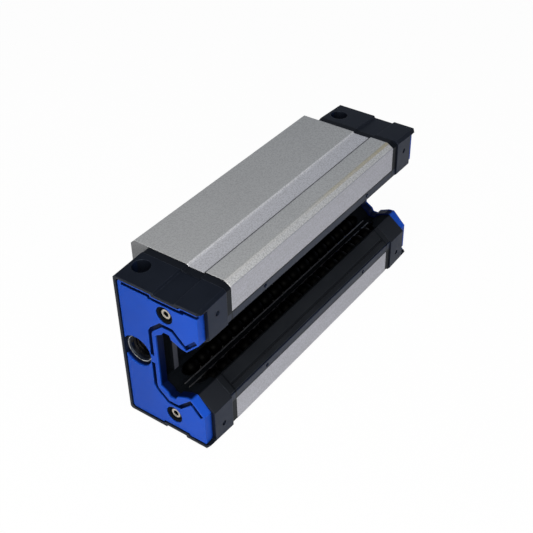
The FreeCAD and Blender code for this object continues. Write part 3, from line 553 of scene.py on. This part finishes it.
def screw_finish():
    """Warm grey steel of the end screws."""
    return bright_steel("screw_steel", dull=(0.42, 0.38, 0.33), bright=(0.62, 0.57, 0.5),
                        worn_and_lit=(0.8, 0.78, 0.74), gloss=0.36, grain_scale=5000.0, edge=0.12 * MM)


def wire_finish():
    """Drawn steel of the retaining wires."""
    return bright_steel("wire_steel", dull=(0.28, 0.28, 0.29), bright=(0.48, 0.48, 0.49),
                        worn_and_lit=(0.55, 0.55, 0.55), gloss=0.3, grain_scale=6000.0, edge=0.05 * MM)


def port_thread_shaded_finish():
    """Steel of the threads in the grease ports, painted nearly black as shade."""
    return bright_steel("port_thread_shaded_steel", dull=(0.006, 0.006, 0.007), bright=(0.014, 0.014, 0.015),
                        worn_and_lit=(0.06, 0.06, 0.06), gloss=0.3, grain_scale=5000.0, edge=0.08 * MM)


BALL_SHADE_DARK = (0.0012, 0.0012, 0.0012)
BALL_SHADE_PALE = (0.003, 0.003, 0.0029)


def ball_finish():
    """Polished balls, painted nearly black as shade."""
    material, tree, shader, place = new_finish("shaded_ball_steel")
    grain = use_group(tree, MOULDED_GRAIN, place, Grain_Scale=2500.0, Patch_Scale=300.0)
    feed(tree, shader["Base Color"], mix_colours(tree, grain["Patches"], BALL_SHADE_DARK, BALL_SHADE_PALE))
    vary_gloss(tree, shader, grain["Patches"], middle=0.485, swing=0.065)
    feed(tree, shader["Metallic"], 1.0)
    add_bump(tree, shader, grain["Height"], strength=0.1, depth=0.003 * MM)
    return material


FINISHES = {
    "ground_steel": ground_steel_finish(),
    "black_cap": black_cap_finish(),
    "black_plate": black_plate_finish(),
    "black_strip": black_strip_finish(),
    "black_retainer": black_retainer_finish(),
    "blue_seal": blue_seal_finish(),
    "screw_steel": screw_finish(),
    "wire_steel": wire_finish(),
    "ball_steel": ball_finish(),
}
PORT_THREAD_SHADED_FINISH = port_thread_shaded_finish()


def give_finish(piece, finish):
    """Makes a finish the only one of a piece."""
    piece.data.materials.clear()
    piece.data.materials.append(finish)


for subpart in frame["record"]["subparts"]:
    give_finish(nodes[subpart["node"]], FINISHES[subpart["material_slot"]])


# End caps and lower retainers

MERGE_DISTANCE = 0.001 * MM
SMOOTH_ANGLE = math.radians(30)
FLAT_ANGLE = math.radians(0.5)
RIM_TIP_REACH = 84.45 * MM
FLARE_START = -27.9 * MM
FLARE_SIDE = 8.7 * MM
FLARE_RUN = 0.78
SAME_DIRECTION = 0.99
GROOVE_START = -30.55 * MM
GROOVE_END = -31.2 * MM
GROOVE_DEPTH = 0.7 * MM
GROOVE_RUN = 39.2 * MM


def mark_faces(piece, wanted):
    """Leaves the faces that fit selected for the next step in edit mode."""
    bpy.ops.object.mode_set(mode="OBJECT")
    for edge in piece.data.edges:
        edge.select = False
    for vertex in piece.data.vertices:
        vertex.select = False
    for face in piece.data.polygons:
        face.select = wanted(face)
    bpy.ops.object.mode_set(mode="EDIT")


def start_from(node, name):
    """A merged copy of a CAD node, left in edit mode with all of it selected."""
    bpy.ops.object.select_all(action="DESELECT")
    piece = bpy.data.objects.new(name, nodes[node].data.copy())
    bpy.context.scene.collection.objects.link(piece)
    bpy.context.view_layer.objects.active = piece
    piece.select_set(True)
    bpy.ops.object.mode_set(mode="EDIT")
    bpy.ops.mesh.select_mode(type="FACE")
    bpy.ops.mesh.select_all(action="SELECT")
    bpy.ops.mesh.remove_doubles(threshold=MERGE_DISTANCE)
    return piece


def finish_copy(piece, node, slot):
    """Closes the edit of a copy, and puts it in the place of its CAD node."""
    bpy.ops.mesh.select_all(action="SELECT")
    bpy.ops.mesh.normals_make_consistent(inside=False)
    bpy.ops.object.mode_set(mode="OBJECT")
    bpy.ops.mesh.customdata_custom_splitnormals_clear()
    bpy.ops.object.shade_smooth_by_angle(angle=SMOOTH_ANGLE)
    shading = piece.modifiers.new("even_shading", "WEIGHTED_NORMAL")
    shading.keep_sharp = True
    bpy.ops.object.modifier_apply(modifier="even_shading")
    give_finish(piece, FINISHES[slot])
    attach(piece, "block")
    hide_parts(node)


def trim_cap(end, side):
    """An end cap with the sharp tips of its rim cut off on the rail side."""
    node = f"{end}_end_cap"
    piece = start_from(node, f"{end}_trimmed_cap")
    outwards = Vector((side, -1, 0)).normalized()
    bpy.ops.mesh.bisect(
        plane_co=(side * RIM_TIP_REACH, 0, 0), plane_no=outwards, use_fill=True, clear_outer=True)
    finish_copy(piece, node, "black_cap")


def groove_retainer(mark, leg):
    """A lower retainer with the groove that runs along its slanted face."""
    node = f"{mark}_lower_retainer"
    piece = start_from(node, f"{mark}_grooved_retainer")
    bpy.ops.mesh.dissolve_limited(angle_limit=FLAT_ANGLE)
    along_flare = Vector((0, -1, leg * FLARE_RUN)).normalized()
    out_of_flare = Vector((0, -FLARE_RUN, -leg)).normalized()

    def on_flare(face):
        return face.normal.dot(out_of_flare) > SAME_DIRECTION

    def on_groove(face):
        place = face.center
        return on_flare(face) and GROOVE_END < place.y < GROOVE_START and abs(place.x) < GROOVE_RUN

    for drop in (GROOVE_START, GROOVE_END):
        mark_faces(piece, on_flare)
        side = leg * (FLARE_SIDE + (FLARE_START - drop) * FLARE_RUN)
        bpy.ops.mesh.bisect(plane_co=(0, drop, side), plane_no=along_flare)
    for end in (-1, 1):
        mark_faces(piece, on_flare)
        bpy.ops.mesh.bisect(plane_co=(end * GROOVE_RUN, 0, 0), plane_no=(1, 0, 0))
    mark_faces(piece, on_groove)
    inwards = tuple(-GROOVE_DEPTH * out_of_flare)
    bpy.ops.mesh.extrude_region_move(TRANSFORM_OT_translate={"value": inwards})
    finish_copy(piece, node, "black_retainer")


# Threads of the grease ports and mounting holes

THREAD_PITCH = 1.0 * MM
THREAD_HEIGHT = 0.42 * MM
THREAD_ROOT = 0.8 * MM
THREAD_CREST = 0.14 * MM
THREAD_SEAT = 0.02 * MM
THREAD_STEPS = 48
THREAD_SMOOTH_ANGLE = math.radians(35)
PORT_TURNS = 4
MOUNTING_TURNS = 7
MOUNTING_THREAD_DROP = 0.6 * MM


def cut_thread(name, mouth, inwards, radius, turns, finish):
    """A thread ridge that stands on the wall of a hole, from its mouth inwards."""
    bpy.ops.object.select_all(action="DESELECT")
    bpy.ops.mesh.primitive_plane_add(size=1.0)
    ridge = bpy.context.object
    ridge.name = name
    root = radius + THREAD_SEAT
    crest = radius - THREAD_HEIGHT
    corners = (
        (root, -THREAD_ROOT / 2), (root, THREAD_ROOT / 2),
        (crest, -THREAD_CREST / 2), (crest, THREAD_CREST / 2),
    )
    for vertex, (reach, height) in zip(ridge.data.vertices, corners):
        vertex.co = (reach, 0.0, height)
    screw = ridge.modifiers.new("helix", "SCREW")
    screw.axis = "Z"
    screw.angle = math.radians(360)
    screw.screw_offset = THREAD_PITCH
    screw.iterations = turns
    screw.steps = THREAD_STEPS
    screw.render_steps = THREAD_STEPS
    screw.use_merge_vertices = True
    bpy.ops.object.modifier_apply(modifier="helix")
    bpy.ops.object.mode_set(mode="EDIT")
    bpy.ops.mesh.select_all(action="SELECT")
    bpy.ops.mesh.fill_holes(sides=4)
    bpy.ops.mesh.select_all(action="SELECT")
    bpy.ops.mesh.normals_make_consistent(inside=False)
    bpy.ops.object.mode_set(mode="OBJECT")
    turn = Vector(inwards).to_track_quat("Z", "Y").to_matrix().to_4x4()
    ridge.matrix_world = Matrix.Translation(mouth) @ turn
    bpy.ops.object.transform_apply(location=True, rotation=True, scale=True)
    bpy.ops.object.shade_smooth_by_angle(angle=THREAD_SMOOTH_ANGLE)
    give_finish(ridge, finish)
    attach(ridge, "block")


# Camera

AZIMUTH = math.radians(-53.587)
ELEVATION = math.radians(37.691)
ROLL = math.radians(-1.311)
DISTANCE = 297.23 * MM
AIM_RIGHT = 11.824 * MM
AIM_UP = -8.022 * MM
FOCAL_PIXELS = 998.62
IMAGE_PIXELS = 533
NEAREST = 0.01
FURTHEST = 20.0


def add_camera():
    """The camera at the photograph's viewing angle."""
    outwards = math.cos(ELEVATION)
    back = Vector((math.sin(AZIMUTH) * outwards, -math.cos(AZIMUTH) * outwards, math.sin(ELEVATION)))
    level = Vector((0, 0, 1)).cross(back).normalized()
    upright = back.cross(level)
    right = math.cos(ROLL) * level + math.sin(ROLL) * upright
    up = math.cos(ROLL) * upright - math.sin(ROLL) * level
    data = bpy.data.cameras.new("photo_camera")
    data.lens = FOCAL_PIXELS * data.sensor_width / IMAGE_PIXELS
    data.clip_start = NEAREST
    data.clip_end = FURTHEST
    camera = bpy.data.objects.new("photo_camera", data)
    bpy.context.scene.collection.objects.link(camera)
    turn = Matrix((right, up, back)).transposed().to_4x4()
    camera.matrix_world = Matrix.Translation(right * AIM_RIGHT + up * AIM_UP + back * DISTANCE) @ turn
    bpy.context.scene.camera = camera


# Floor, surroundings and lamps

FLOOR_SIZE = 6.0
FLOOR_WHITE = 0.7
FLOOR_GLOW = 0.97
FLOOR_SHEEN = 0.35
ROOM_SHADES = ((0.1, (0.8, 0.87, 1.0, 1)), (0.55, (0.1, 0.11, 0.13, 1)))
ROOM_STRENGTH = 0.6
WARM_WHITE = (1.0, 0.985, 0.94)
COOL_WHITE = (0.7, 0.85, 1.0)

# Name, place, target, width, power and colour of each lamp
LAMPS = (
    ("overhead_softbox", (-0.16, -0.08, 0.34), (-0.05, 0, 0), 0.26, 1.65, WARM_WHITE),
    ("front_softbox", (-0.42, -0.28, 0.16), (-0.02, 0, 0), 0.25, 1.65, WARM_WHITE),
    ("rear_softbox", (0.26, 0.02, 0.34), (0.03, 0, 0), 0.2, 0.05, COOL_WHITE),
)


def add_floor():
    """A wide pale floor, white to the camera and greyer in reflections, with a faint shadow."""
    bpy.ops.object.select_all(action="DESELECT")
    bpy.ops.mesh.primitive_plane_add(size=FLOOR_SIZE, location=(0, 0, FLOOR_HEIGHT))
    floor = bpy.context.object
    floor.name = "floor"
    material = bpy.data.materials.new("pale_floor")
    material.use_nodes = True
    tree = material.node_tree
    tree.nodes.clear()
    paint = add_node(tree, "ShaderNodeBsdfDiffuse", {"Color": (FLOOR_WHITE, FLOOR_WHITE, FLOOR_WHITE, 1)})
    glow = add_node(tree, "ShaderNodeEmission", {"Strength": 1.0})
    path = add_node(tree, "ShaderNodeLightPath").outputs
    mirrored = join_values(tree, "MAXIMUM", path["Is Glossy Ray"], path["Is Transmission Ray"])
    share = join_values(tree, "MAXIMUM", overlap(tree, path["Is Camera Ray"], FLOOR_GLOW),
                        overlap(tree, mirrored, FLOOR_SHEEN))
    blend = add_node(tree, "ShaderNodeMixShader", {
        "Fac": share, 1: paint.outputs["BSDF"], 2: glow.outputs["Emission"]})
    add_node(tree, "ShaderNodeOutputMaterial", {"Surface": blend.outputs["Shader"]})
    floor.data.materials.append(material)


def add_surroundings():
    """A room that is white near the horizon and darker overhead."""
    world = bpy.data.worlds.new("studio")
    world.use_nodes = True
    tree = world.node_tree
    direction = add_node(tree, "ShaderNodeTexCoord").outputs["Generated"]
    shade = add_node(tree, "ShaderNodeValToRGB", {"Fac": split_axes(tree, direction)[Z]})
    for stop, (position, colour) in zip(shade.color_ramp.elements, ROOM_SHADES):
        stop.position = position
        stop.color = colour
    background = tree.nodes["Background"].inputs
    feed(tree, background["Color"], shade.outputs["Color"])
    feed(tree, background["Strength"], ROOM_STRENGTH)
    bpy.context.scene.world = world


def add_lamp(name, place, target, width, power, colour):
    """A square soft lamp that points at a place."""
    data = bpy.data.lights.new(name, "AREA")
    data.color = colour
    data.size = width
    data.energy = power
    lamp = bpy.data.objects.new(name, data)
    bpy.context.scene.collection.objects.link(lamp)
    lamp.location = place
    lamp.rotation_euler = (Vector(target) - Vector(place)).to_track_quat("-Z", "Y").to_euler()


add_camera()
add_floor()
add_surroundings()
for lamp_values in LAMPS:
    add_lamp(*lamp_values)

for end, side in ENDS:
    trim_cap(end, side)
for mark, leg in LEGS:
    groove_retainer(mark, leg)
for end, side in ENDS:
    mouth = Vector((side * (PORT_WALL_END - THREAD_ROOT / 2), -PORT_DROP, 0))
    cut_thread(f"{end}_port_thread", mouth, (-side, 0, 0), PORT_RADIUS, PORT_TURNS, PORT_THREAD_SHADED_FINISH)
for end, side in ENDS:
    for mark, leg in reversed(LEGS):
        mouth = Vector((side * MOUNTING_ALONG, -MOUNTING_THREAD_DROP, leg * MOUNTING_ACROSS))
        cut_thread(f"{end}_{mark}_mounting_thread", mouth, (0, -1, 0), MOUNTING_RADIUS, MOUNTING_TURNS,
                   FINISHES["ground_steel"])

bpy.context.scene.view_settings.view_transform = "Standard"
